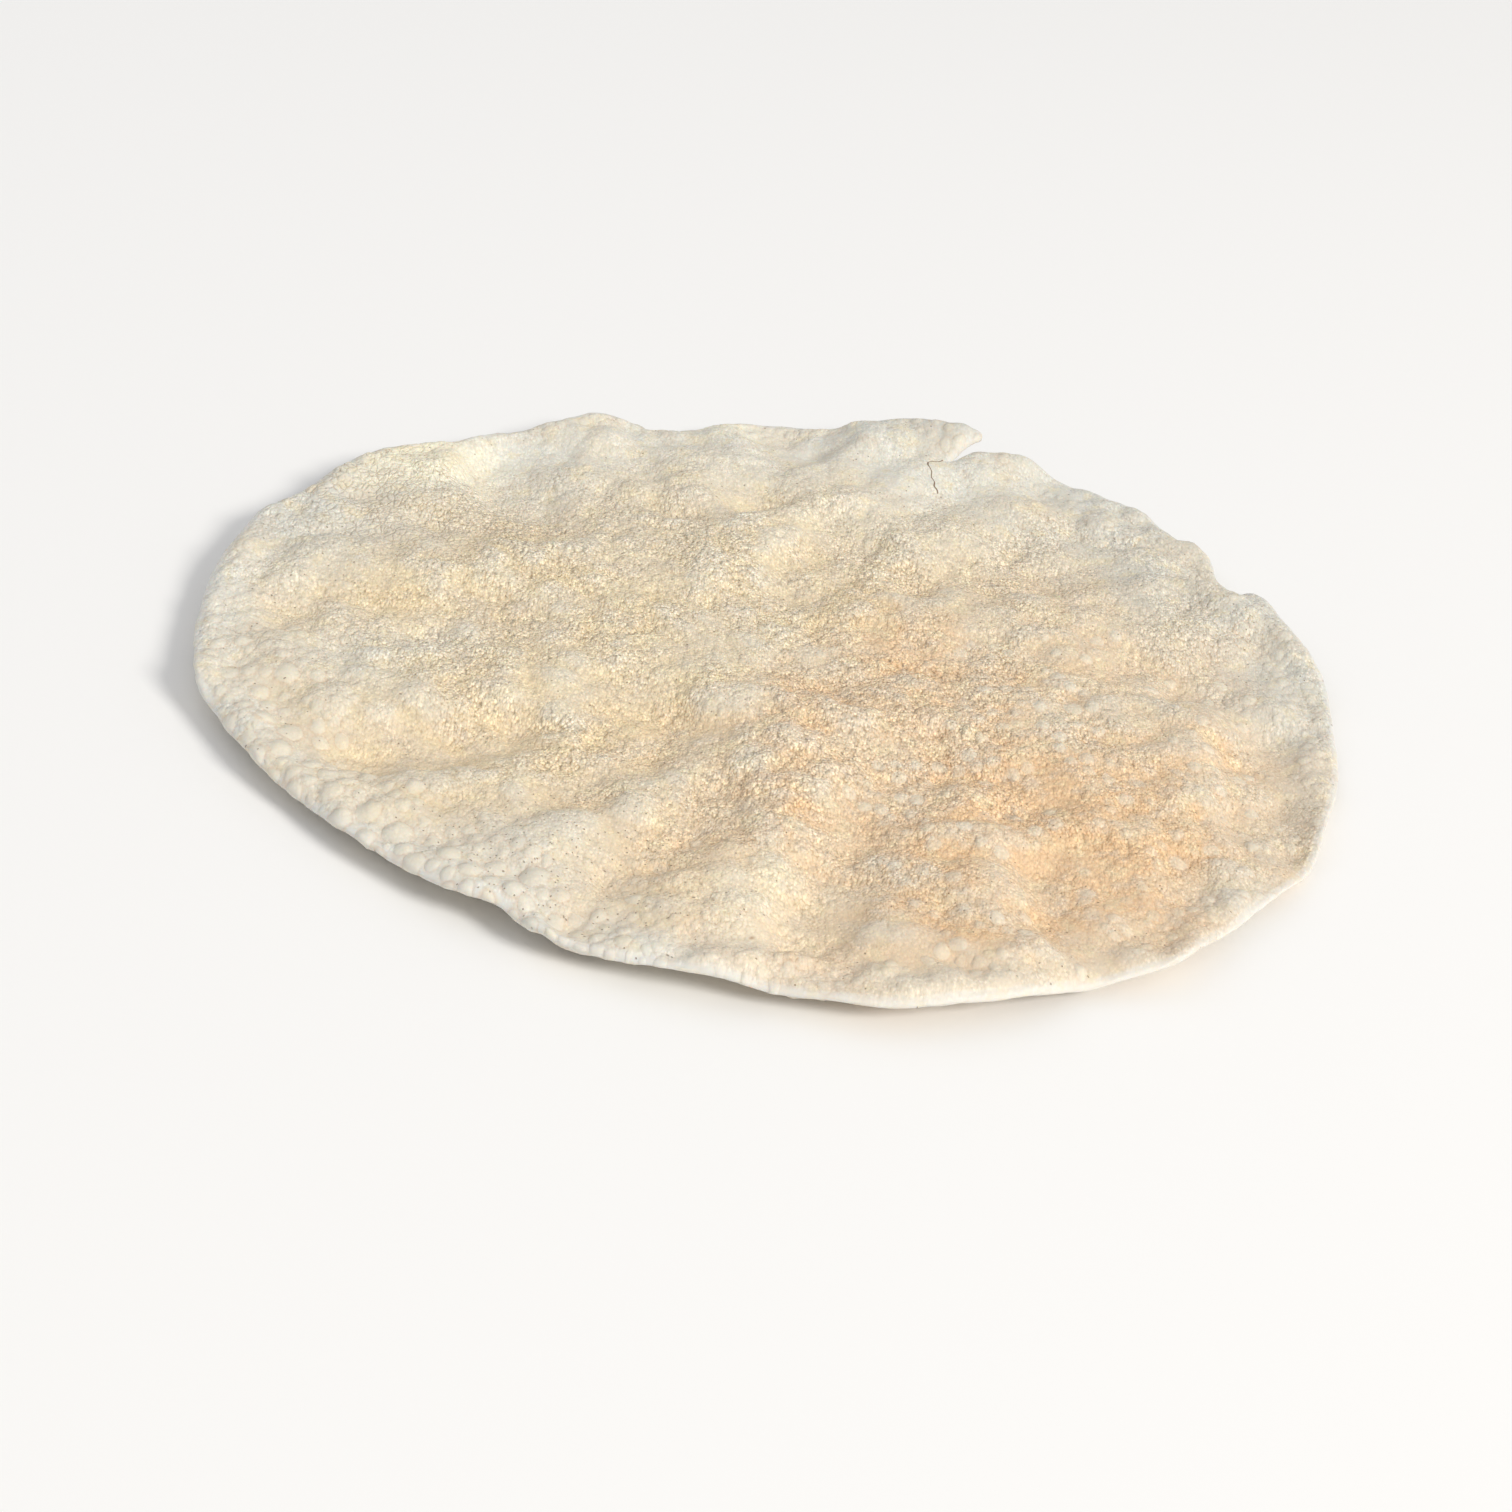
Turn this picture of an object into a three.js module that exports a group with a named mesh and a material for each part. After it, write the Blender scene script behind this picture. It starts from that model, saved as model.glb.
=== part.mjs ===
// A fried papadum: one thin crisp round, ruffled and blistered, with a tear in its rim.
// Millimetres, +Z up. It lies on its lowest folds, which are flat where they touch.
import * as THREE from "three";

// Driving dimensions
const meanRadius = 100; // plan size of the round
const thickness = 1.6; // the crisp sheet, measured upright
const edgeRound = 0.5; // how far the middle of the rim stands out
const ringCount = 25; // rings of points from the centre to the rim
const meshTurn = 45; // degrees, where the first of the six sectors starts
const sectorCount = 6;

// Outline: three slow lobes, a little waver and local marks that fade away from the rim
const lobes = { count: 3, height: 2.7, at: 47 };
const waver = [
  { count: 8, height: 0.6, at: 12 },
  { count: 13, height: 0.5, at: 3 },
  { count: 21, height: 0.4, at: 8 },
];
const marks = [
  { at: 33, halfWidth: 3.2, out: -6 },
  { at: 25, halfWidth: 4, out: -2.4 },
  { at: 5, halfWidth: 4, out: -1.6 },
  { at: -12, halfWidth: 13, out: 1.6 },
  { at: -50, halfWidth: 2.5, out: 2.2 },
  { at: -60, halfWidth: 4, out: -2.4 },
  { at: -86, halfWidth: 14, out: -2.8 },
  { at: -113, halfWidth: 3, out: -4 },
  { at: -129, halfWidth: 10, out: -1.4 },
  { at: -156, halfWidth: 15, out: 2.6 },
  { at: -165, halfWidth: 3.5, out: -1.6 },
  { at: 160, halfWidth: 3, out: -2 },
  { at: 136, halfWidth: 9, out: -3 },
];
const rimFade = 12; // power of the share of the way to the rim

// Folds: straight strokes in plan. Level is the height of the underside along the stroke,
// width how far it reaches to each side, and a level below zero is worn flat at the bottom.
const openLevel = 4.2; // where no fold reaches
const openWeight = 0.12;
const folds = [
  // front ridges with the valleys beside them, from left to right
  { from: [-66, -49], to: [-44, -39], level: -0.9, width: 6 },
  { from: [-60, -58], to: [-34, -42], level: 3.8, width: 7 },
  { from: [-50, -68], to: [-28, -50], level: 2, width: 5 },
  { from: [-41, -78], to: [-20, -52], level: 5, width: 6 },
  { from: [-24, -85], to: [-16, -68], level: 2.2, width: 5 },
  { from: [-16, -68], to: [-8, -50], level: 1.4, width: 5 },
  { from: [-29, -44], to: [-22, -26], level: 0.6, width: 7 },
  { from: [-5, -88], to: [1, -58], level: 4.8, width: 6 },
  { from: [1, -58], to: [5, -28], level: 5.2, width: 6 },
  { from: [9, -86], to: [14, -56], level: 1, width: 5 },
  { from: [14, -56], to: [26, -28], level: 1.6, width: 6 },
  { from: [26, -72], to: [28, -54], level: 3.8, width: 4 },
  { from: [41, -86], to: [33, -54], level: 5, width: 5 },
  { from: [32, -50], to: [35, -40], level: 4.4, width: 4 },
  { from: [52, -84], to: [45, -58], level: 1.6, width: 4 },
  { from: [54, -78], to: [60, -58], level: 2.6, width: 8 },
  { from: [40, -42], to: [41, -34], level: 2.2, width: 4 },
  { from: [66, -60], to: [80, -54], level: 2.4, width: 7 },
  // middle
  { from: [-8, -15], to: [11, -18], level: 5.4, width: 5 },
  { from: [0, -8], to: [10, -9], level: 2.6, width: 5 },
  { from: [8, 6], to: [36, 6], level: 3, width: 5 },
  { from: [-56, -24], to: [-42, -20], level: 4.4, width: 6 },
  { from: [-88, -8], to: [-50, -1], level: 2.6, width: 6 },
  // left, with the raised rim behind
  { from: [-82, 14], to: [-62, 18], level: 5.6, width: 7 },
  { from: [-60, 20], to: [-40, 27], level: 5.4, width: 6 },
  { from: [-66, 30], to: [-56, 34], level: 2.4, width: 4 },
  { from: [-92, -42], to: [-64, -76], level: 3.8, width: 6 },
  { from: [-80, 40], to: [-72, 48], level: 4.4, width: 6 },
  { from: [-59, 64], to: [-52, 50], level: -1, width: 6 },
  { from: [-52, 50], to: [-45, 36], level: 2, width: 5 },
  { from: [-47, 64], to: [-39, 48], level: 3.2, width: 5 },
  { from: [-100, 22], to: [-88, 52], level: 4.6, width: 6 },
  { from: [-88, 52], to: [-66, 76], level: 4.8, width: 6 },
  // back ruffles and the pit among them
  { from: [-62, 78], to: [-56, 70], level: 2, width: 5 },
  { from: [-44, 91], to: [-40, 78], level: 4.6, width: 6 },
  { from: [-30, 99], to: [-29, 89], level: -0.8, width: 7 },
  { from: [-29, 84], to: [-28, 72], level: 3.6, width: 6 },
  { from: [-20, 82], to: [-19, 62], level: 6.2, width: 6 },
  { from: [-12, 60], to: [-10, 57], level: 1.8, width: 4 },
  { from: [-5, 50], to: [-14, 28], level: 6.4, width: 5 },
  { from: [9, 46], to: [0, 22], level: 2.2, width: 5 },
  { from: [18, 22], to: [56, 33], level: 4.4, width: 4 },
  { from: [22, 34], to: [58, 46], level: 2, width: 4 },
  { from: [-6, 99], to: [-5, 86], level: 1, width: 6 },
  { from: [8, 66], to: [18, 86], level: 6.4, width: 7 },
  { from: [18, 90], to: [26, 97], level: 9, width: 7 },
  { from: [38, 94], to: [34, 84], level: 5.4, width: 5 },
  { from: [32, 86], to: [27, 83], level: 6.6, width: 4 },
  { from: [33, 78], to: [26, 64], level: 3.6, width: 6 },
  { from: [52, 85], to: [48, 77], level: 1.4, width: 6 },
  { from: [22, 52], to: [44, 72], level: 5.6, width: 5 },
  { from: [64, 76], to: [80, 62], level: 2.4, width: 5 },
  // right, where the rim curls up
  { from: [40, 54], to: [56, 60], level: 2.4, width: 5 },
  { from: [88, 54], to: [80, 51], level: 1.6, width: 4 },
  { from: [64, 40], to: [84, 42], level: 5.6, width: 5 },
  { from: [66, 12], to: [86, 16], level: 1.4, width: 6 },
  { from: [62, -8], to: [66, -36], level: 4.6, width: 8 },
  { from: [88, -4], to: [83, -38], level: -0.4, width: 6 },
  { from: [100, 10], to: [96, -28], level: 1.6, width: 6 },
];
// Ruffles run out from the centre, turning as they go, and grow towards the rim
const ruffles = [
  { count: 13, height: 0.6, turn: 38 },
  { count: 19, height: 0.5, turn: -27 },
  { count: 29, height: 0.35, turn: 21 },
];

// Tear: runs in from the rim along one row of points, and its back lip stands up
const tear = { sector: 0, step: 10, rings: 3, gap: 1.6, lift: 3.2, reach: 12, cornerWear: 1 };

// Blisters: raised points on the upper face, crowded along the front left of the rim
const blister = { band: 14, crowdedBand: 30, crowdedAt: -135, crowdedHalf: 38 };
const blisterRise = { least: 0.7, most: 1.4 };
const blisterChance = { open: 0.45, crowded: 0.85 };
const blisterSeed = 11;

const radians = THREE.MathUtils.degToRad;
const turnGap = (a, b) => Math.abs(THREE.MathUtils.euclideanModulo(a - b + 180, 360) - 180);

// Radius at an angle in degrees, for a point that lies at this share of the way to the rim
function outlineRadius(angle, share) {
  const lobe = lobes.height * Math.cos(radians(lobes.count * (angle - lobes.at)));
  let fine = 0;
  for (const wave of waver) fine += wave.height * Math.cos(radians(wave.count * (angle - wave.at)));
  for (const mark of marks) fine += mark.out * Math.exp(-((turnGap(angle, mark.at) / mark.halfWidth) ** 2));
  return (meanRadius + lobe) * share + fine * share ** rimFade;
}

function distanceToStroke(point, stroke) {
  const start = new THREE.Vector2(...stroke.from);
  const along = new THREE.Vector2(...stroke.to).sub(start);
  const reach = point.clone().sub(start).dot(along) / along.lengthSq();
  return start.addScaledVector(along, THREE.MathUtils.clamp(reach, 0, 1)).distanceTo(point);
}

// Height of the underside: the folds near a point, each weighted by how close it runs
function foldHeight(point) {
  let weightSum = openWeight;
  let levelSum = openWeight * openLevel;
  for (const fold of folds) {
    const weight = Math.exp(-((distanceToStroke(point, fold) / fold.width) ** 2));
    weightSum += weight;
    levelSum += weight * fold.level;
  }
  let height = levelSum / weightSum;
  const share = point.length() / meanRadius;
  for (const ruffle of ruffles) {
    const swing = radians(ruffle.turn) * Math.sin(2 * Math.PI * share);
    height += ruffle.height * share * Math.sin(ruffle.count * (point.angle() + swing));
  }
  return height;
}

// Point numbers on the rings: ring k has k points in each of the six sectors
function pointNumber(ring, sector, step) {
  if (ring === 0) return 0;
  const before = 1 + (sectorCount * ring * (ring - 1)) / 2;
  return before + ((sector * ring + step) % (sectorCount * ring));
}

function layPoints() {
  const points = [{ plan: new THREE.Vector2(), angle: 0, ring: 0, place: 0 }];
  for (let ring = 1; ring <= ringCount; ring++) {
    for (let place = 0; place < sectorCount * ring; place++) {
      const angle = meshTurn + (place * 360) / (sectorCount * ring);
      const radius = outlineRadius(angle, ring / ringCount);
      const plan = new THREE.Vector2(Math.cos(radians(angle)), Math.sin(radians(angle)));
      points.push({ plan: plan.multiplyScalar(radius), angle, ring, place });
    }
  }
  return points;
}

function layTriangles() {
  const triangles = [];
  for (let ring = 1; ring <= ringCount; ring++) {
    for (let sector = 0; sector < sectorCount; sector++) {
      for (let step = 0; step < ring; step++) {
        const inner = pointNumber(ring - 1, sector, step);
        const outer = pointNumber(ring, sector, step + 1);
        triangles.push([inner, pointNumber(ring, sector, step), outer]);
        if (step < ring - 1) triangles.push([inner, outer, pointNumber(ring - 1, sector, step + 1)]);
      }
    }
  }
  return triangles;
}

// Splits the sheet along the tear: its points are doubled, and the back lip takes the copies
function openTear(points, triangles) {
  const row = [];
  for (let ring = ringCount; ring >= ringCount - tear.rings; ring--) {
    row.push(pointNumber(ring, tear.sector, tear.step));
  }
  const tip = points[row.at(-1)].plan.clone();
  const along = points[row[0]].plan.clone().sub(tip);
  const aside = new THREE.Vector2(-along.y, along.x).normalize();
  const isBehind = (place) => place.clone().sub(tip).dot(aside) > 0;

  const copies = new Map();
  for (const number of row.slice(0, -1)) {
    copies.set(number, points.length);
    points.push({ ...points[number], plan: points[number].plan.clone() });
  }
  for (const triangle of triangles) {
    const middle = new THREE.Vector2();
    for (const number of triangle) middle.addScaledVector(points[number].plan, 1 / 3);
    if (!isBehind(middle)) continue;
    triangle.forEach((number, corner) => {
      triangle[corner] = copies.get(number) ?? number;
    });
  }

  const shareAlong = (plan) => plan.clone().sub(tip).dot(along) / along.lengthSq();
  const lifted = new Set(copies.values());
  points.forEach((point, number) => {
    const open = THREE.MathUtils.clamp(shareAlong(point.plan), 0, 1);
    const onTear = lifted.has(number) || copies.has(number);
    const behind = onTear ? lifted.has(number) : isBehind(point.plan);
    const across = Math.abs(point.plan.clone().sub(tip).dot(aside));
    point.lift = behind ? tear.lift * open * Math.exp(-((across / tear.reach) ** 2)) : 0;
    point.onTear = onTear || number === row.at(-1);
    if (onTear) point.plan.addScaledVector(aside, (behind ? 0.5 : -0.5) * tear.gap * open);
    if (onTear && point.ring === ringCount) point.plan.setLength(point.plan.length() - tear.cornerWear);
  });
}

// Raised points never stand next to each other, because only every third place may take one
function blisterHeight(point) {
  const crowded = turnGap(point.angle, blister.crowdedAt) < blister.crowdedHalf;
  const fromRim = meanRadius * (1 - point.ring / ringCount);
  const band = crowded ? blister.crowdedBand : blister.band;
  const step = point.place % Math.max(point.ring, 1);
  const taken = THREE.MathUtils.seededRandom() < (crowded ? blisterChance.crowded : blisterChance.open);
  const rise = THREE.MathUtils.lerp(blisterRise.least, blisterRise.most, THREE.MathUtils.seededRandom());
  const allowed = (point.ring + step) % 3 === 0 && fromRim < band && !point.onTear;
  return allowed && taken ? rise : 0;
}

// Free edges of the sheet, each run with the sheet on its left
function freeEdges(triangles) {
  const runs = new Set();
  const key = (a, b) => `${a} ${b}`;
  const edges = triangles.flatMap(([a, b, c]) => [[a, b], [b, c], [c, a]]);
  for (const [a, b] of edges) runs.add(key(a, b));
  return edges.filter(([a, b]) => !runs.has(key(b, a)));
}

// Outward direction in plan at each point of the free edge
function edgeNormals(points, edges) {
  const normals = new Map();
  for (const [a, b] of edges) {
    const run = points[b].plan.clone().sub(points[a].plan).normalize();
    for (const number of [a, b]) {
      if (!normals.has(number)) normals.set(number, new THREE.Vector2());
      normals.get(number).add(new THREE.Vector2(run.y, -run.x));
    }
  }
  for (const normal of normals.values()) normal.normalize();
  return normals;
}

function papadumGeometry() {
  const points = layPoints();
  const triangles = layTriangles();
  openTear(points, triangles);
  const edges = freeEdges(triangles);

  const upper = [];
  const lower = [];
  THREE.MathUtils.seededRandom(blisterSeed);
  for (const point of points) {
    point.level = foldHeight(point.plan) + point.lift;
    const top = point.level + thickness + blisterHeight(point);
    upper.push(new THREE.Vector3(point.plan.x, point.plan.y, top));
    lower.push(new THREE.Vector3(point.plan.x, point.plan.y, Math.max(point.level, 0)));
  }
  const count = points.length;
  const corners = [...upper, ...lower];
  const faces = [];
  for (const [a, b, c] of triangles) faces.push([a, b, c], [a + count, c + count, b + count]);

  // the rim stands out a little at half its thickness, and the tear's walls are upright
  const middle = new Map();
  for (const [number, normal] of edgeNormals(points, edges)) {
    middle.set(number, corners.length);
    const corner = upper[number].clone().lerp(lower[number], 0.5);
    const out = points[number].onTear ? 0 : edgeRound;
    corners.push(corner.add(new THREE.Vector3(normal.x * out, normal.y * out, 0)));
  }
  for (const [a, b] of edges) {
    faces.push([b, a, middle.get(a)], [b, middle.get(a), middle.get(b)]);
    faces.push([middle.get(b), middle.get(a), a + count], [middle.get(b), a + count, b + count]);
  }

  const geometry = new THREE.BufferGeometry().setFromPoints(corners);
  geometry.setIndex(faces.flat());
  geometry.computeBoundingBox();
  const centre = geometry.boundingBox.getCenter(new THREE.Vector3());
  geometry.translate(-centre.x, -centre.y, -geometry.boundingBox.min.z);
  geometry.computeVertexNormals();
  return geometry;
}

const crisp = new THREE.MeshStandardMaterial({ color: 0xe9dcc2, roughness: 0.75, metalness: 0 });
const papadum = new THREE.Mesh(papadumGeometry(), crisp);
papadum.name = "papadum";

const part = new THREE.Group();
part.add(papadum);

export default part;
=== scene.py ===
import math
from random import Random

import bmesh
import bpy
from mathutils import Matrix, Vector, noise
from mathutils.kdtree import KDTree


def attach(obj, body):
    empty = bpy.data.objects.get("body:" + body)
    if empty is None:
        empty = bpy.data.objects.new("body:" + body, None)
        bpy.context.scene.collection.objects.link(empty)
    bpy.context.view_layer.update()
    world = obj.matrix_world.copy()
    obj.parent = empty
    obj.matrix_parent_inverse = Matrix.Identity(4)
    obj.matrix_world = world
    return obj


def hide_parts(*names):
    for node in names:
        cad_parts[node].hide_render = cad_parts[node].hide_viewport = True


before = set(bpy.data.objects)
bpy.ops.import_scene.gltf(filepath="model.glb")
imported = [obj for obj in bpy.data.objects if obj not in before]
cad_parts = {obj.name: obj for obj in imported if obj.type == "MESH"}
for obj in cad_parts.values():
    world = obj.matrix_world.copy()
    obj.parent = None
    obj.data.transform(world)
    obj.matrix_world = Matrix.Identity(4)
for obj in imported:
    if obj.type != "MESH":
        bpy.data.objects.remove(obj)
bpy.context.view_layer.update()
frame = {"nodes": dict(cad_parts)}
print("frame loaded:", ", ".join(frame["nodes"]))

mm = 0.001


# small helpers for node trees
def addNode(tree, kind, inputs=None, **settings):
    node = tree.nodes.new(kind)
    for name, value in settings.items():
        setattr(node, name, value)
    for key, value in (inputs or {}).items():
        if isinstance(value, bpy.types.NodeSocket):
            tree.links.new(value, node.inputs[key])
        else:
            node.inputs[key].default_value = value
    return node


def calc(tree, operation, *values, clamp=False):
    inputs = dict(enumerate(values))
    return addNode(tree, "ShaderNodeMath", inputs, operation=operation, use_clamp=clamp).outputs[0]


def product(tree, *values):
    result = values[0]
    for value in values[1:]:
        result = calc(tree, "MULTIPLY", result, value)
    return result


def total(tree, *values):
    result = values[0]
    for value in values[1:]:
        result = calc(tree, "ADD", result, value)
    return result


def restOf(tree, value):
    # what is left of 1, never below 0
    return calc(tree, "SUBTRACT", 1.0, value, clamp=True)


def fade(tree, value, start, end, low=0.0, high=1.0):
    # low at start, high at end, with a soft slope between them
    inputs = {"Value": value, "From Min": start, "From Max": end, "To Min": low, "To Max": high}
    return addNode(tree, "ShaderNodeMapRange", inputs, interpolation_type="SMOOTHSTEP").outputs["Result"]


def vector(tree, operation, *values):
    node = addNode(tree, "ShaderNodeVectorMath", dict(enumerate(values)), operation=operation)
    return node.outputs["Value" if operation in ("DOT_PRODUCT", "LENGTH", "DISTANCE") else "Vector"]


def scaled(tree, value, amount):
    return addNode(tree, "ShaderNodeVectorMath", {0: value, "Scale": amount}, operation="SCALE").outputs[0]


def joined(tree, x, y, z):
    return addNode(tree, "ShaderNodeCombineXYZ", {0: x, 1: y, 2: z}).outputs[0]


def axisOf(tree, value, axis):
    return addNode(tree, "ShaderNodeSeparateXYZ", {0: value}).outputs[axis]


def cells(tree, place, size, feature="F1"):
    inputs = {"Vector": place, "Scale": 1.0 / size}
    return addNode(tree, "ShaderNodeTexVoronoi", inputs, voronoi_dimensions="2D", feature=feature)


def cloud(tree, place, size, detail=2.0):
    inputs = {"Vector": place, "Scale": 1.0 / size, "Detail": detail}
    return addNode(tree, "ShaderNodeTexNoise", inputs, noise_dimensions="3D").outputs[0]


def shake(tree, place, size, amount):
    # moves a pattern's places about, so that it loses its regular cells
    inputs = {"Vector": place, "Scale": 1.0 / size, "Detail": 0.0}
    drift = addNode(tree, "ShaderNodeTexNoise", inputs, noise_dimensions="3D").outputs["Color"]
    drift = vector(tree, "SUBTRACT", drift, (0.5, 0.5, 0.5))
    return vector(tree, "ADD", place, vector(tree, "MULTIPLY", drift, (amount, amount, 0.0)))


def bumps(tree, place, size):
    # packed round bumps: how far a bump's middle is, its height from 0 to 1 and three random numbers
    cell = cells(tree, shake(tree, place, 1.8 * size, 0.6 * size), size)
    near = calc(tree, "MULTIPLY", cell.outputs["Distance"], 1.25)
    return cell.outputs["Distance"], restOf(tree, product(tree, near, near)), cell.outputs["Color"]


def drawnOut(tree, place, stretch):
    # makes a pattern longer in y by this much
    return vector(tree, "MULTIPLY", place, (1.0, 1.0 / stretch, 1.0))


def flattened(tree, place):
    return vector(tree, "MULTIPLY", place, (1.0, 1.0, 0.0))


# blisters of the sheet: places and radii in mm, angles in degrees
blisters = {
    "seed": 11,
    "rimRadius": 98.5,
    "largest": 2.8,
    "apart": 0.98,  # how close two may come, against the sum of their radii
    "stretch": 1.25,  # length in y against width
    "patchSize": 14.0,  # of the stretches with many and with few
    # the ones that stand out: x, y, radius
    "chosen": (
        (-76.5, -45.5, 2.1), (-77.0, -52.0, 2.0), (-73.5, -38.5, 1.3), (-79.5, -35.5, 1.2),
        (-90.0, -37.0, 1.2), (-68.0, -58.0, 1.8), (-62.0, -55.5, 1.7), (-66.5, -63.0, 2.0),
        (-62.0, -63.0, 1.3), (-58.5, -59.0, 1.5), (-60.0, -67.0, 2.2), (-54.5, -71.5, 2.5),
        (-54.0, -58.5, 1.7), (-49.0, -72.0, 1.4), (-90.0, -20.0, 1.6), (-32.0, -79.5, 2.3),
        (-38.0, -79.0, 1.8), (-34.5, -84.5, 1.7), (-35.5, -72.0, 1.4), (47.5, -12.5, 1.5),
        (53.0, -5.5, 1.7), (78.0, 8.0, 1.4), (79.5, -56.0, 1.3), (66.0, -51.0, 1.1),
        (62.5, -25.5, 0.9),
    ),
    # the rest, drawn at random round a stretch of the rim
    "drawn": (
        {"tries": 200, "radius": (1.5, 2.2), "around": -134.0, "spread": 28.0, "band": 13.0, "bare": 0.2},
        {"tries": 1500, "radius": (1.0, 1.5), "around": -136.0, "spread": 36.0, "band": 18.0, "bare": 0.15},
        {"tries": 3600, "radius": (0.6, 1.0), "around": -138.0, "spread": 46.0, "band": 24.0, "bare": 0.25},
        {"tries": 2400, "radius": (0.7, 1.2), "around": 0.0, "spread": 180.0, "band": 6.0, "bare": 0.25},
        {"tries": 900, "radius": (0.8, 1.5), "around": -24.0, "spread": 46.0, "band": 64.0, "bare": 0.45},
        {"tries": 300, "radius": (0.8, 1.1), "around": 0.0, "spread": 180.0, "band": 92.0, "bare": 0.6},
    ),
}


def crowded(spots, x, y, radius):
    squeeze = 1.0 / blisters["stretch"]
    return any(math.hypot(x - spot[0], squeeze * (y - spot[1])) < blisters["apart"] * (radius + spot[2])
               for spot in spots)


def drawBlisters():
    draw = Random(blisters["seed"])
    spots = list(blisters["chosen"])
    for kind in blisters["drawn"]:
        for turn in range(kind["tries"]):
            angle = math.radians(kind["around"] + draw.uniform(-1.0, 1.0) * kind["spread"])
            away = blisters["rimRadius"] - kind["band"] * draw.random()
            radius = draw.uniform(*kind["radius"])
            x = away * math.cos(angle)
            y = away * math.sin(angle)
            patchy = 0.5 + noise.noise(Vector((x, y, 0.0)) / blisters["patchSize"])
            if patchy < kind["bare"] or crowded(spots, x, y, radius):
                continue
            spots.append((x, y, radius))
    return spots


def blisterCloud():
    # one point for each blister: a large one lies lower than a small one, by as much as makes the
    # nearest point the blister whose circle a place is deepest in
    points = []
    for x, y, radius in drawBlisters():
        points.append((x, y / blisters["stretch"], math.sqrt(blisters["largest"] ** 2 - radius ** 2)))
    mesh = bpy.data.meshes.new("blisterCloud")
    mesh.from_pydata(points, [], [])
    cloudObject = bpy.data.objects.new("blisterCloud", mesh)
    bpy.context.collection.objects.link(cloudObject)
    return cloudObject


# papadum sheet: the values a user would change, sizes in mm
sheet = {
    "level": 2,
    "mergeDistance": 0.01,
    "edgeSlope": 0.35,  # a point is on the rim's edge where its normal's z is smaller than this
    "lipBand": (2.5, 0.8), "lipTurns": 6,  # where the rim's edge is evened, and how often
    "edgeBand": 3.0, "edgeKeep": 0.25,  # how wide the rim's calm edge is, and how much relief is left there
    "blisterRise": 0.21,  # height of a blister against its radius
    "knobSize": 3.2, "knobHeight": 0.55, "knobStretch": 1.3, "knobPatchSize": 12.0,
    "lumpSize": 8.0, "lumpHeight": 0.9,
    "bumpLevel": 0.6,  # how much of a knob or lump lies below the sheet
    "crumpleTurn": 14.0,  # degrees
    "crumpleLength": 26.0, "crumpleWidth": 11.0, "crumpleHeight": 0.6,
    "crumpleDrift": 24.0, "crumpleSharpness": 4.8, "crumplePatchSize": 40.0,
    "evenField": (62.0, -40.0, 4.0), "evenReach": (24.0, 60.0),  # a stretch with few wrinkles
    "hollowTurns": 26,  # how often the sheet is evened to tell its hollows from its crests
    "underShift": (350.0, 210.0, 0.0),  # the two faces don't share one pattern
}


def mergedCopy(nodeName, pieceName):
    mesh = bpy.data.meshes.new(pieceName)
    bm = bmesh.new()
    bm.from_mesh(frame["nodes"][nodeName].data)
    bmesh.ops.remove_doubles(bm, verts=bm.verts, dist=sheet["mergeDistance"] * mm)
    bm.normal_update()
    edgePoints = [v.co.copy() for v in bm.verts if abs(v.normal.z) < sheet["edgeSlope"]]
    edge = KDTree(len(edgePoints))
    for number, point in enumerate(edgePoints):
        edge.insert(point, number)
    edge.balance()
    distances = [edge.find(v.co)[2] / mm for v in bm.verts]
    bm.to_mesh(mesh)
    bm.free()
    mesh.attributes.new("rim", "FLOAT", "POINT").data.foreach_set("value", distances)
    piece = bpy.data.objects.new(pieceName, mesh)
    bpy.context.collection.objects.link(piece)
    return piece


def keepValue(tree, geometry, name, value, kind="FLOAT", domain="POINT"):
    inputs = {"Geometry": geometry, "Name": name, "Value": value}
    return addNode(tree, "GeometryNodeStoreNamedAttribute", inputs, data_type=kind, domain=domain).outputs[0]


def evened(tree, value, turns, weight=1.0):
    inputs = {"Value": value, "Iterations": turns, "Weight": weight}
    return addNode(tree, "GeometryNodeBlurAttribute", inputs, data_type="FLOAT_VECTOR").outputs[0]


def patternPlace(tree, plan, under):
    # where a pattern is read, in mm
    return vector(tree, "ADD", plan, scaled(tree, sheet["underShift"], under))


def crests(tree, place, length, width):
    # long wrinkles with sharp crests
    stretched = vector(tree, "MULTIPLY", place, (1.0 / length, 1.0 / width, 1.0 / width))
    away = calc(tree, "ABSOLUTE", calc(tree, "SUBTRACT", cloud(tree, stretched, 1.0), 0.5))
    return restOf(tree, product(tree, away, sheet["crumpleSharpness"]))


def nearestBlister(tree, blisterObject, position, inMm):
    # the blister that a point belongs to, as x, y and radius, and how far out on it the point lies
    spots = addNode(tree, "GeometryNodeObjectInfo", {"Object": blisterObject}).outputs["Geometry"]
    plan = vector(tree, "MULTIPLY", inMm, (1.0, 1.0 / blisters["stretch"], 0.0))
    nearest = addNode(tree, "GeometryNodeSampleNearest",
                      {"Geometry": spots, "Sample Position": plan}, domain="POINT").outputs[0]
    spot = addNode(tree, "GeometryNodeSampleIndex", {"Geometry": spots, "Value": position, "Index": nearest},
                   data_type="FLOAT_VECTOR", domain="POINT").outputs[0]
    standOff = axisOf(tree, spot, "Z")
    square = calc(tree, "SUBTRACT", blisters["largest"] ** 2, product(tree, standOff, standOff))
    radius = calc(tree, "SQRT", square)
    reach = calc(tree, "DIVIDE", vector(tree, "DISTANCE", plan, flattened(tree, spot)), radius)
    return joined(tree, axisOf(tree, spot, "X"), axisOf(tree, spot, "Y"), radius), radius, reach


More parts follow.
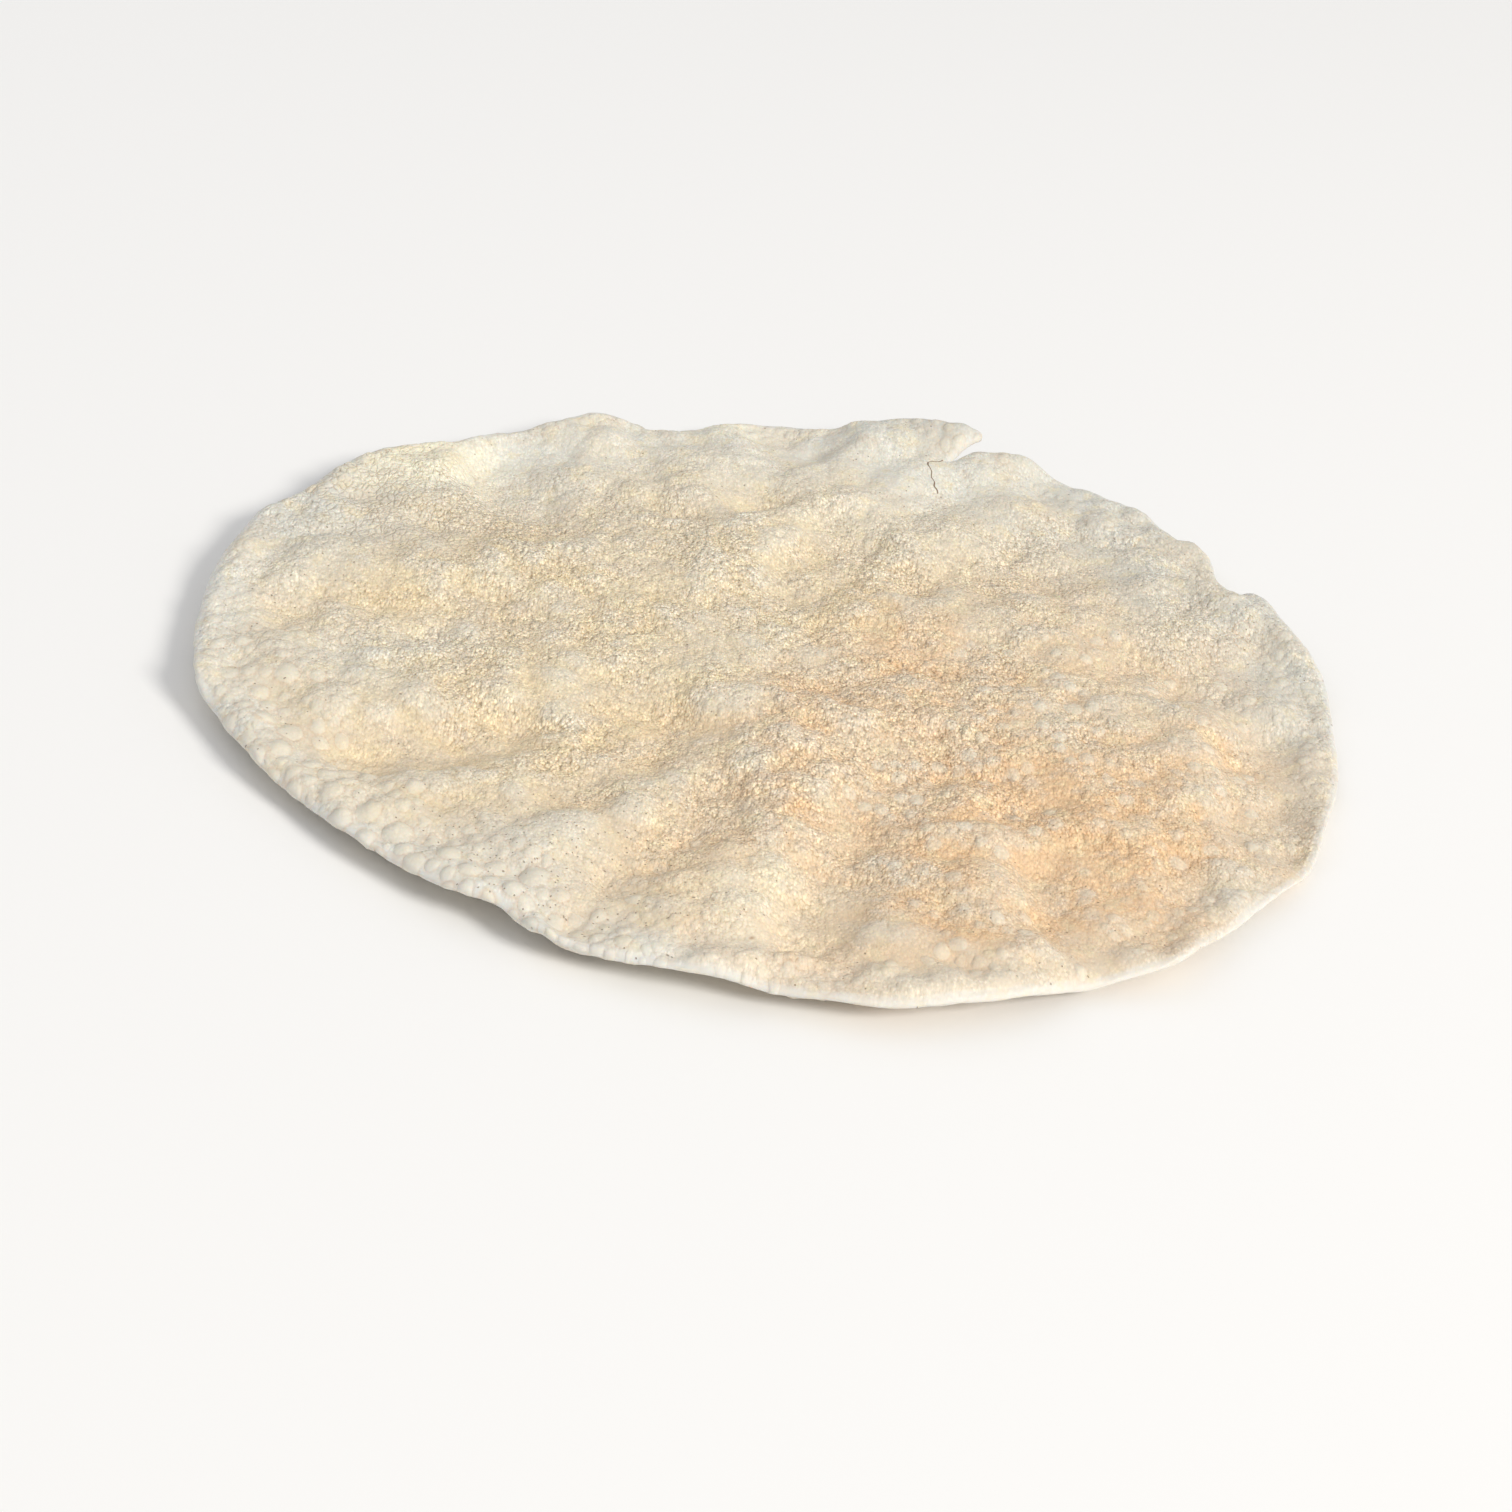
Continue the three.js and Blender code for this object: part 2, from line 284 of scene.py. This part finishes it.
def wrinkles(tree, place, inMm):
    # crests that come and go, with a calm stretch at the front right
    turned = addNode(tree, "ShaderNodeVectorRotate",
                     {"Vector": shake(tree, place, sheet["crumpleDrift"], sheet["crumpleDrift"]),
                      "Angle": -math.radians(sheet["crumpleTurn"])},
                     rotation_type="Z_AXIS").outputs[0]
    calm = fade(tree, vector(tree, "DISTANCE", inMm, sheet["evenField"]), *sheet["evenReach"], 0.25, 1.0)
    return product(tree, crests(tree, turned, sheet["crumpleLength"], sheet["crumpleWidth"]),
                   fade(tree, cloud(tree, place, sheet["crumplePatchSize"]), 0.35, 0.6, 0.35, 1.0), calm)


def reliefTree(material):
    tree = bpy.data.node_groups.new("sheetRelief", "GeometryNodeTree")
    tree.is_modifier = True
    panel = tree.interface
    panel.new_socket(name="Geometry", in_out="INPUT", socket_type="NodeSocketGeometry")
    panel.new_socket(name="Blisters", in_out="INPUT", socket_type="NodeSocketObject")
    panel.new_socket(name="Level", in_out="INPUT", socket_type="NodeSocketInt")
    for name in ("Blister Rise", "Knob Height", "Lump Height", "Crumple Height", "Edge Keep"):
        panel.new_socket(name=name, in_out="INPUT", socket_type="NodeSocketFloat")
    panel.new_socket(name="Geometry", in_out="OUTPUT", socket_type="NodeSocketGeometry")
    start = addNode(tree, "NodeGroupInput").outputs

    # a smooth sheet with an even rim
    smooth = addNode(tree, "GeometryNodeSubdivisionSurface",
                     {"Mesh": start["Geometry"], "Level": start["Level"]}).outputs[0]
    position = addNode(tree, "GeometryNodeInputPosition").outputs[0]
    normal = addNode(tree, "GeometryNodeInputNormal").outputs[0]
    rim = addNode(tree, "GeometryNodeInputNamedAttribute", {"Name": "rim"}, data_type="FLOAT").outputs[0]
    lip = evened(tree, position, sheet["lipTurns"], fade(tree, rim, *sheet["lipBand"]))
    smooth = addNode(tree, "GeometryNodeSetPosition", {"Geometry": smooth, "Position": lip}).outputs[0]
    under = calc(tree, "LESS_THAN", axisOf(tree, normal, "Z"), 0.0)
    inMm = vector(tree, "MULTIPLY", position, (1 / mm, 1 / mm, 1 / mm))
    place = patternPlace(tree, inMm, under)

    # blisters, with knobs, lumps and wrinkles between them
    bubble, radius, reach = nearestBlister(tree, start["Blisters"], position, inMm)
    dome = restOf(tree, product(tree, reach, reach))
    bare = fade(tree, reach, 0.8, 1.3, 0.2, 1.0)
    knob = bumps(tree, drawnOut(tree, place, sheet["knobStretch"]), sheet["knobSize"])[1]
    knobby = fade(tree, cloud(tree, place, sheet["knobPatchSize"]), 0.35, 0.65, 0.25, 1.0)
    lump = bumps(tree, place, sheet["lumpSize"])[1]
    height = total(
        tree,
        product(tree, dome, radius, start["Blister Rise"]),
        product(tree, calc(tree, "SUBTRACT", knob, sheet["bumpLevel"]), knobby, bare, start["Knob Height"]),
        product(tree, calc(tree, "SUBTRACT", lump, sheet["bumpLevel"]), start["Lump Height"]),
        product(tree, wrinkles(tree, place, inMm), start["Crumple Height"]),
    )
    height = product(tree, height, fade(tree, rim, 0.0, sheet["edgeBand"], start["Edge Keep"], 1.0))

    kept = keepValue(tree, smooth, "plan", inMm, "FLOAT_VECTOR")
    kept = keepValue(tree, kept, "under", under, "FLOAT", "FACE")
    kept = keepValue(tree, kept, "bubble", bubble, "FLOAT_VECTOR", "FACE")
    offset = scaled(tree, normal, product(tree, height, mm))
    raised = addNode(tree, "GeometryNodeSetPosition", {"Geometry": kept, "Offset": offset}).outputs[0]

    # how far each point lies below (+) or above (-) the sheet round it, in mm
    here = addNode(tree, "GeometryNodeInputPosition").outputs[0]
    sunk = vector(tree, "SUBTRACT", evened(tree, here, sheet["hollowTurns"]), here)
    depth = vector(tree, "DOT_PRODUCT", sunk, normal)
    raised = keepValue(tree, raised, "hollow", calc(tree, "DIVIDE", depth, mm))

    # the underside stays above the floor
    x, y, z = addNode(tree, "ShaderNodeSeparateXYZ", {0: here}).outputs
    lowest = joined(tree, x, y, calc(tree, "MAXIMUM", z, 0.0))
    laid = addNode(tree, "GeometryNodeSetPosition", {"Geometry": raised, "Position": lowest}).outputs[0]
    shaded = addNode(tree, "GeometryNodeSetShadeSmooth", {"Geometry": laid}).outputs[0]
    real = addNode(tree, "GeometryNodeRealizeInstances", {"Geometry": shaded}).outputs[0]
    coated = addNode(tree, "GeometryNodeSetMaterial", {"Geometry": real, "Material": material}).outputs[0]
    addNode(tree, "NodeGroupOutput", {"Geometry": coated})
    return tree


def applyTree(piece, tree, values):
    modifier = piece.modifiers.new("relief", "NODES")
    modifier.node_group = tree
    sockets = {item.name: item.identifier for item in tree.interface.items_tree if item.in_out == "INPUT"}
    for name, value in values.items():
        modifier[sockets[name]] = value
    piece.update_tag()
    graph = bpy.context.evaluated_depsgraph_get()
    made = bpy.data.meshes.new_from_object(piece.evaluated_get(graph), preserve_all_data_layers=True,
                                           depsgraph=graph)
    piece.modifiers.remove(modifier)
    old = piece.data
    piece.data = made
    made.name = piece.name
    bpy.data.meshes.remove(old)


# fried dough: colours are linear, sizes in mm, angles in degrees
dough = {
    "cream": (0.73, 0.64, 0.49, 1.0),
    "tan": (0.80, 0.55, 0.325, 1.0),
    "honey": (0.80, 0.64, 0.39, 1.0),
    "pale": (0.76, 0.755, 0.69, 1.0),
    # painted shade for the rim side that faces away from the light
    "shadedRimGrey": (0.645, 0.635, 0.575, 1.0),
    # paler thin edge, with a cool tint of painted skylight
    "paleEdgeAndSkylight": (0.76, 0.765, 0.74, 1.0),
    # painted light, for the lit patches
    "light": (0.95, 0.90, 0.70, 1.0),
    # painted shade for the low places of the folds
    "valleyShade": (0.72, 0.575, 0.42, 1.0),
    "yellow": (0.82, 0.71, 0.48, 1.0),
    "grey": (0.72, 0.63, 0.51, 1.0),
    "blister": (0.80, 0.745, 0.62, 1.0),
    "halo": (0.70, 0.54, 0.40, 1.0),  # round a blister
    "gap": (0.84, 0.77, 0.69, 1.0),  # painted shade where grains meet, against the dough beside it
    "seam": (0.74, 0.685, 0.635, 1.0),  # darker where scales meet, against the dough beside it
    "pore": (0.20, 0.12, 0.07, 1.0),
    "burn": (0.30, 0.13, 0.05, 1.0),
    # warm patches: x, y, radius, strength
    "warmSpots": (
        (52.0, -42.0, 36.0, 0.75), (62.0, -66.0, 22.0, 0.4), (22.0, 11.0, 20.0, 0.7),
        (22.0, 34.0, 14.0, 0.25), (-42.0, -34.0, 24.0, 0.35), (-20.0, -28.0, 24.0, 0.45),
        (24.0, -45.0, 26.0, 0.3), (44.0, -44.0, 16.0, 0.35), (-9.0, -68.0, 16.0, 0.5),
        (55.0, 12.0, 22.0, 0.3), (-4.0, 54.0, 10.0, 0.5), (-24.0, -4.0, 20.0, 0.2),
        (27.0, -80.0, 18.0, 0.4), (42.0, -80.0, 14.0, 0.2), (40.0, 33.0, 16.0, 0.25),
    ),
    # pale patches, painted light patches and painted shade patches, in the same way
    "paleSpots": ((-36.0, -74.0, 20.0, 0.6), (-74.0, -18.0, 20.0, 0.5), (-58.0, -10.0, 14.0, 0.5)),
    # painted light on slopes that face the lamp
    "paintedLightSpots": ((-74.0, 60.0, 24.0, 1.0), (-16.0, 92.0, 12.0, 0.5), (0.0, -78.0, 24.0, 0.35)),
    # painted shade on slopes and rims facing away from the light
    "paintedShadeSpots": ((28.0, 94.0, 18.0, 1.0), (50.0, 86.0, 14.0, 0.6), (92.0, 10.0, 20.0, 0.5),
                  (80.0, -58.0, 14.0, 0.5), (-86.0, 20.0, 18.0, 0.5), (-70.0, -22.0, 18.0, 0.3)),
    "burnSpots": ((42.0, -29.5, 0.9, 0.35), (2.0, -88.0, 0.8, 0.6)),
    "broadSize": 26.0, "mottleSize": 9.0, "patchSize": 4.0, "patchStrength": 0.45,
    "tanAt": -30.0,  # the side that browns most
    "valleyShadeLevels": (6.5, 2.5), "valleyShadeStrength": 0.3,  # heights between which the low places get painted shade
    "paleBand": 18.0, "paleBackBand": 56.0,  # how far the pale rim reaches in, and at the back
    "warmRimAt": -46.0,  # the stretch of rim that isn't pale
    # the side of the rim that gets painted shade
    "shadedRimAt": 12.0, "rimPatchSize": 11.0,
    "haloStrength": 0.4, "topStrength": 0.5,  # of the colours round and on a blister
    "topSmooth": 0.5,  # how much grain a blister's top loses
    "blisterHeight": 0.17,  # against the radius, over the swell of the sheet
    "smoothRimAt": -137.0,  # the stretch of rim with more blisters than grain
    "coarseField": (64.0, 56.0, 40.0, 0.4),  # x, y, radius, how much coarser the grains are
    "grainPatchSize": 12.0, "speckleSize": 13.0,
    "grainSize": 0.4, "grainHeight": 0.06, "grainStretch": 1.45,
    "grainHighlight": 0.29, "darkGrain": -0.2,  # painted highlight on the grains that stand out bright, and the tone of the dark ones
    # pebble and dust tones make raised bits lighter and low ones darker: painted light and shade
    "pebbleSize": 1.2, "pebbleHeight": 0.16, "pebbleShading": 0.05,
    "dustSize": 0.5, "dustHeight": 0.07, "dustShading": 0.11,
    "scaleSize": 1.3, "scaleHeight": 0.14, "scaleField": (-74.0, 38.0, 44.0),  # x, y, radius
    "scalePatchSize": 20.0, "seamPatchSize": 3.0,
    "poreSize": 1.9, "poreDepth": 0.2, "poreStrength": 0.6,
    "poreField": (-26.0, -70.0, 34.0),  # x, y, radius of the stretch with the most pores
    "crack": ((28.4, 84.6), (25.2, 81.6), (27.4, 71.5)), "crackWidth": (0.19, 0.06),
    "roughness": (0.5, 0.72), "roughSize": 4.0, "specular": 0.35,
    "softWeight": 0.2, "softRadius": (1.0, 0.65, 0.4), "softScale": 0.8,  # light that enters the dough
}


def mixColour(tree, factor, first, second, mode="MIX"):
    node = addNode(tree, "ShaderNodeMix", {0: factor, 6: first, 7: second}, data_type="RGBA", blend_type=mode)
    return node.outputs[2]


def readValue(tree, name, output="Fac"):
    return addNode(tree, "ShaderNodeAttribute", attribute_name=name).outputs[output]


def nearness(tree, flat, x, y, radius, strength=1.0):
    return fade(tree, vector(tree, "DISTANCE", flat, (x, y, 0.0)), radius, 0.0, 0.0, strength)


def facing(tree, flat, angle):
    # 1 where the place lies this way from the middle, 0 at a right angle to it
    way = (math.cos(math.radians(angle)), math.sin(math.radians(angle)), 0.0)
    return vector(tree, "DOT_PRODUCT", vector(tree, "NORMALIZE", flat), way)


def lineDistance(tree, place, start, end):
    # plan distance from a straight stroke
    first = Vector((*start, 0.0))
    along = Vector((*end, 0.0)) - first
    reach = vector(tree, "DOT_PRODUCT", vector(tree, "SUBTRACT", place, first), along / along.length_squared)
    foot = scaled(tree, along, calc(tree, "ADD", reach, 0.0, clamp=True))
    return vector(tree, "DISTANCE", place, vector(tree, "ADD", foot, first))


def readSheet(tree):
    # what the dough reads from the sheet: places in mm, the rim, hollows and the nearest blister
    plan = readValue(tree, "plan", "Vector")
    flat = flattened(tree, plan)
    bubble = readValue(tree, "bubble", "Vector")
    radius = axisOf(tree, bubble, "Z")
    uneven = drawnOut(tree, shake(tree, flat, 2.2, 1.0), blisters["stretch"])
    away = vector(tree, "DISTANCE", uneven, flattened(tree, bubble))
    return {
        "flat": flat,
        "level": axisOf(tree, plan, "Z"),
        "backward": axisOf(tree, flat, "Y"),
        "place": patternPlace(tree, plan, readValue(tree, "under")),
        "rim": readValue(tree, "rim"),
        "hollow": readValue(tree, "hollow"),
        "blisterRadius": radius,
        "blisterReach": calc(tree, "DIVIDE", away, radius),
    }


def broadColour(tree, at):
    # cream, warmer at the front and in patches, with painted warm shade in hollows and painted shade in the
    # valleys
    mottle = cloud(tree, at["place"], dough["mottleSize"], 1.5)
    warm = total(tree, fade(tree, at["backward"], 80.0, -60.0, 0.0, 0.25),
                 fade(tree, cloud(tree, at["place"], dough["broadSize"], 3.0), 0.42, 0.7, 0.0, 0.4),
                 *[nearness(tree, at["flat"], *spot) for spot in dough["warmSpots"]])
    warm = product(tree, warm, fade(tree, mottle, 0.3, 0.7, 0.6, 1.3))
    # painted warm shade: hollows take a warm tint, as of light passing through the thin dough
    warm = calc(tree, "ADD", warm, fade(tree, at["hollow"], 0.0, 0.5, 0.0, 0.2), clamp=True)
    browned = mixColour(tree, fade(tree, facing(tree, at["flat"], dough["tanAt"]), -0.3, 0.6),
                        dough["honey"], dough["tan"])
    colour = mixColour(tree, warm, dough["cream"], browned)
    # painted shade: the low places of the folds darken
    low = fade(tree, at["level"], *dough["valleyShadeLevels"], 0.0, dough["valleyShadeStrength"])
    return mixColour(tree, low, colour, dough["valleyShade"]), warm


def palerParts(tree, at, colour, warm):
    # paler at the rim and at the back, with a painted highlight on crests
    paleReach = fade(tree, at["backward"], -30.0, 70.0, dough["paleBand"], dough["paleBackBand"])
    paleRim = product(tree, fade(tree, at["rim"], paleReach, 0.0),
                      fade(tree, facing(tree, at["flat"], dough["warmRimAt"]), 0.97, 0.55, 0.25, 1.0),
                      fade(tree, cloud(tree, at["place"], dough["rimPatchSize"]), 0.3, 0.6, 0.6, 1.0))
    # painted highlight: crests turn paler
    crestHighlight = product(tree, fade(tree, at["hollow"], 0.0, -0.4, 0.0, 0.35),
                        fade(tree, warm, 0.3, 1.0, 1.0, 0.15))
    # painted shade: the rim on one side turns grey
    pale = mixColour(tree, fade(tree, facing(tree, at["flat"], dough["shadedRimAt"]), 0.45, 0.95),
                     dough["pale"], dough["shadedRimGrey"])
    colour = mixColour(tree, calc(tree, "MAXIMUM", paleRim, crestHighlight), colour, pale)
    # pale patches, then painted light and painted shade patches
    for spots, tint in (("paleSpots", "pale"), ("paintedLightSpots", "light"), ("paintedShadeSpots", "shadedRimGrey")):
        for spot in dough[spots]:
            colour = mixColour(tree, nearness(tree, at["flat"], *spot), colour, dough[tint])
    # the rim's edge turns paler and cooler: partly paler dough, partly painted skylight
    return mixColour(tree, fade(tree, at["rim"], 1.8, 0.3, 0.0, 0.7), colour, dough["paleEdgeAndSkylight"])


def patchesAndBlisters(tree, at, colour):
    # small patches, and blisters with smooth pale tops
    patchy = cloud(tree, at["place"], dough["patchSize"])
    for end, tint in ((0.72, "yellow"), (0.28, "grey")):
        amount = fade(tree, patchy, 0.5, end, 0.0, dough["patchStrength"])
        colour = mixColour(tree, amount, colour, dough[tint])
    reach = at["blisterReach"]
    large = fade(tree, at["blisterRadius"], 0.6, 1.6, 0.15, 1.0)
    halo = product(tree, fade(tree, reach, 0.85, 1.0), fade(tree, reach, 1.4, 1.05), large)
    colour = mixColour(tree, product(tree, halo, dough["haloStrength"]), colour, dough["halo"])
    top = product(tree, fade(tree, reach, 1.02, 0.8), large)
    return mixColour(tree, product(tree, top, dough["topStrength"]), colour, dough["blister"]), top


def grainAmount(tree, at, top):
    # how much grain shows: less on blisters, by the rim, at the very front and back, more in one field
    smooth = product(tree, fade(tree, facing(tree, at["flat"], dough["smoothRimAt"]), 0.7, 0.95),
                     fade(tree, at["rim"], 36.0, 16.0, 0.0, 0.35))
    return product(
        tree,
        restOf(tree, product(tree, top, dough["topSmooth"])),
        restOf(tree, smooth),
        fade(tree, at["rim"], 4.0, 50.0, 0.75, 1.3),
        fade(tree, at["rim"], 0.3, 1.6, 0.2, 1.0),
        fade(tree, at["backward"], -50.0, -85.0, 1.0, 0.75),
        fade(tree, at["backward"], 35.0, 80.0, 1.0, 0.6),
        calc(tree, "ADD", 1.0, nearness(tree, at["flat"], *dough["coarseField"])),
        fade(tree, cloud(tree, at["place"], dough["grainPatchSize"]), 0.3, 0.65, 0.6, 1.35),
    )


def scales(tree, at, fine, top, colour):
    # scales with dark seams, in one field and in patches
    scaly = total(tree, nearness(tree, at["flat"], *dough["scaleField"]),
                  fade(tree, cloud(tree, at["place"], dough["scalePatchSize"]), 0.52, 0.7, 0.0, 0.4))
    scaly = product(tree, calc(tree, "MINIMUM", scaly, 1.0), restOf(tree, top))
    cell = cells(tree, shake(tree, fine, 1.8, 0.9), dough["scaleSize"], "DISTANCE_TO_EDGE")
    edge = cell.outputs["Distance"]
    seam = product(tree, fade(tree, edge, 0.12, 0.02), scaly,
                   fade(tree, cloud(tree, at["place"], dough["seamPatchSize"]), 0.35, 0.6, 0.2, 1.0))
    relief = product(tree, fade(tree, edge, 0.0, 0.3), scaly, dough["scaleHeight"])
    return mixColour(tree, seam, colour, dough["seam"], "MULTIPLY"), relief


def grains(tree, at, fine, bare, colour):
    # grains, each with its own tone, with painted light and shade on their bumps, painted highlights on some,
    # and painted shade where a few of them meet
    dust = cloud(tree, fine, dough["dustSize"], 1.0)
    pebble = bumps(tree, fine, dough["pebbleSize"])[1]
    away, grain, numbers = bumps(tree, fine, dough["grainSize"])
    # painted highlight on the tops of some grains
    highlight = fade(tree, axisOf(tree, numbers, "Y"), 0.65, 0.95, 0.0, dough["grainHighlight"])
    dark = fade(tree, axisOf(tree, numbers, "Z"), 0.9, 0.98, 0.0, dough["darkGrain"])
    # painted light and shade: the tone follows the height of the dust and pebbles
    tone = total(tree, fade(tree, dust, 0.25, 0.75, -dough["dustShading"], dough["dustShading"]),
                 fade(tree, pebble, 0.0, 1.0, -dough["pebbleShading"], dough["pebbleShading"]),
                 product(tree, highlight, grain), product(tree, dark, grain))
    tone = calc(tree, "ADD", 1.0, product(tree, tone, bare))
    colour = mixColour(tree, 1.0, colour, joined(tree, tone, tone, tone), "MULTIPLY")
    speckled = fade(tree, cloud(tree, at["place"], dough["speckleSize"]), 0.35, 0.65, 0.4, 1.0)
    # painted shade in the gaps between grains
    gap = product(tree, fade(tree, away, 0.52, 0.75), speckled, bare)
    relief = total(tree, product(tree, pebble, bare, dough["pebbleHeight"]),
                   product(tree, grain, bare, dough["grainHeight"]),
                   product(tree, dust, bare, dough["dustHeight"]))
    return mixColour(tree, gap, colour, dough["gap"], "MULTIPLY"), relief


def poresAndCrack(tree, at, colour):
    # pores, two burnt dots and the hairline crack
    hole = cells(tree, shake(tree, at["place"], 3.0, 1.6), dough["poreSize"])
    rare = fade(tree, nearness(tree, at["flat"], *dough["poreField"]), 0.0, 0.6, 0.9, 0.35)
    chosen = calc(tree, "GREATER_THAN", axisOf(tree, hole.outputs["Color"], "Z"), rare)
    pore = product(tree, fade(tree, hole.outputs["Distance"], 0.1, 0.04), chosen, dough["poreStrength"])
    uneven = shake(tree, at["flat"], 2.4, 1.2)
    first, bend, last = dough["crack"]
    away = calc(tree, "MINIMUM", lineDistance(tree, uneven, first, bend),
                lineDistance(tree, uneven, bend, last))
    crack = fade(tree, away, *dough["crackWidth"], 0.0, 0.95)
    colour = mixColour(tree, calc(tree, "MAXIMUM", pore, crack), colour, dough["pore"])
    for spot in dough["burnSpots"]:
        colour = mixColour(tree, nearness(tree, uneven, *spot), colour, dough["burn"])
    return colour, product(tree, pore, -dough["poreDepth"])


def friedDough():
    material = bpy.data.materials.new("friedDough")
    material.use_nodes = True
    tree = material.node_tree
    tree.nodes.clear()
    at = readSheet(tree)
    colour, warm = broadColour(tree, at)
    colour = palerParts(tree, at, colour, warm)
    colour, top = patchesAndBlisters(tree, at, colour)
    fine = drawnOut(tree, at["place"], dough["grainStretch"])
    colour, scaleRelief = scales(tree, at, fine, top, colour)
    colour, grainRelief = grains(tree, at, fine, grainAmount(tree, at, top), colour)
    colour, poreRelief = poresAndCrack(tree, at, colour)
    reach = at["blisterReach"]
    dome = restOf(tree, product(tree, reach, reach, reach))
    blisterRelief = product(tree, dome, at["blisterRadius"], dough["blisterHeight"])
    height = total(tree, blisterRelief, scaleRelief, grainRelief, poreRelief)
    bump = addNode(tree, "ShaderNodeBump", {"Height": height, "Strength": 1.0, "Distance": mm}).outputs[0]
    rough = fade(tree, cloud(tree, at["place"], dough["roughSize"]), 0.3, 0.7, *dough["roughness"])
    shader = addNode(tree, "ShaderNodeBsdfPrincipled", {
        "Base Color": colour, "Roughness": rough, "Normal": bump, "Specular IOR Level": dough["specular"],
        "Subsurface Weight": dough["softWeight"], "Subsurface Radius": dough["softRadius"],
        "Subsurface Scale": dough["softScale"] * mm,
    })
    addNode(tree, "ShaderNodeOutputMaterial", {"Surface": shader.outputs[0]})
    return material


spotCloud = blisterCloud()
print("blisters drawn:", len(spotCloud.data.vertices))
crisp = mergedCopy("papadum", "papadumCrisp")
print("merged copy:", len(crisp.data.vertices), "points")
applyTree(crisp, reliefTree(friedDough()), {
    "Blisters": spotCloud, "Level": sheet["level"], "Blister Rise": sheet["blisterRise"],
    "Knob Height": sheet["knobHeight"], "Lump Height": sheet["lumpHeight"],
    "Crumple Height": sheet["crumpleHeight"], "Edge Keep": sheet["edgeKeep"],
})
bpy.data.objects.remove(spotCloud)
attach(crisp, "root")
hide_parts("papadum")
print("papadum raised:", len(crisp.data.polygons), "faces")


# studio: floor, lights and camera, in metres and degrees
studio = {
    "floorHalf": 3.0, "floorColour": (0.95, 0.95, 0.95, 1.0), "floorRoughness": 0.9,
    "aim": (-0.00073, -0.0338, 0.0052),
    "camera": {"distance": 0.5, "elevation": 31.18, "roll": 7.57,
               "lens": 71.55, "sensor": 36.0, "near": 0.01},  # lens and sensor in mm
    "lights": (
        {"name": "key", "azimuth": -38.0, "elevation": 34.0, "distance": 3.0, "size": 0.95,
         "power": 64.0, "colour": (1.0, 0.965, 0.90)},
        {"name": "fill", "azimuth": 150.0, "elevation": 50.0, "distance": 1.3, "size": 1.4,
         "power": 2.0, "colour": (0.95, 0.97, 1.0)},
    ),
    "sky": (0.99, 0.985, 0.985, 1.0), "skyStrength": 0.54,
}


def direction(azimuth, elevation):
    a = math.radians(azimuth)
    e = math.radians(elevation)
    return Vector((math.cos(a) * math.cos(e), math.sin(a) * math.cos(e), math.sin(e)))


def layFloor():
    half = studio["floorHalf"]
    corners = [(-half, -half, 0), (half, -half, 0), (half, half, 0), (-half, half, 0)]
    mesh = bpy.data.meshes.new("floor")
    mesh.from_pydata(corners, [], [(0, 1, 2, 3)])
    floor = bpy.data.objects.new("floor", mesh)
    bpy.context.collection.objects.link(floor)
    material = bpy.data.materials.new("paleFloor")
    material.use_nodes = True
    shader = material.node_tree.nodes["Principled BSDF"]
    shader.inputs["Base Color"].default_value = studio["floorColour"]
    shader.inputs["Roughness"].default_value = studio["floorRoughness"]
    mesh.materials.append(material)


def hangLights():
    for lamp in studio["lights"]:
        light = bpy.data.lights.new(lamp["name"], "AREA")
        light.shape = "DISK"
        light.size = lamp["size"]
        light.energy = lamp["power"]
        light.color = lamp["colour"]
        rig = bpy.data.objects.new(lamp["name"], light)
        bpy.context.collection.objects.link(rig)
        towards = direction(lamp["azimuth"], lamp["elevation"])
        rig.location = towards * lamp["distance"]
        rig.rotation_euler = towards.to_track_quat("Z", "Y").to_euler()
    world = bpy.data.worlds.new("softSky")
    world.use_nodes = True
    sky = world.node_tree.nodes["Background"]
    sky.inputs["Color"].default_value = studio["sky"]
    sky.inputs["Strength"].default_value = studio["skyStrength"]
    bpy.context.scene.world = world


def placeCamera():
    view = studio["camera"]
    elevation = math.radians(view["elevation"])
    roll = math.radians(view["roll"])
    forward = Vector((0.0, math.cos(elevation), -math.sin(elevation)))
    level = Vector((1.0, 0.0, 0.0))
    right = level * math.cos(roll) + level.cross(forward) * math.sin(roll)
    up = right.cross(forward)
    lens = bpy.data.cameras.new("camera")
    lens.lens = view["lens"]
    lens.sensor_width = view["sensor"]
    lens.clip_start = view["near"]
    camera = bpy.data.objects.new("camera", lens)
    bpy.context.collection.objects.link(camera)
    turned = Matrix((right, up, -forward)).transposed().to_4x4()
    camera.matrix_world = Matrix.Translation(Vector(studio["aim"]) - forward * view["distance"]) @ turned
    bpy.context.scene.camera = camera


layFloor()
hangLights()
placeCamera()
bpy.context.scene.view_settings.view_transform = "Standard"
print("studio set")
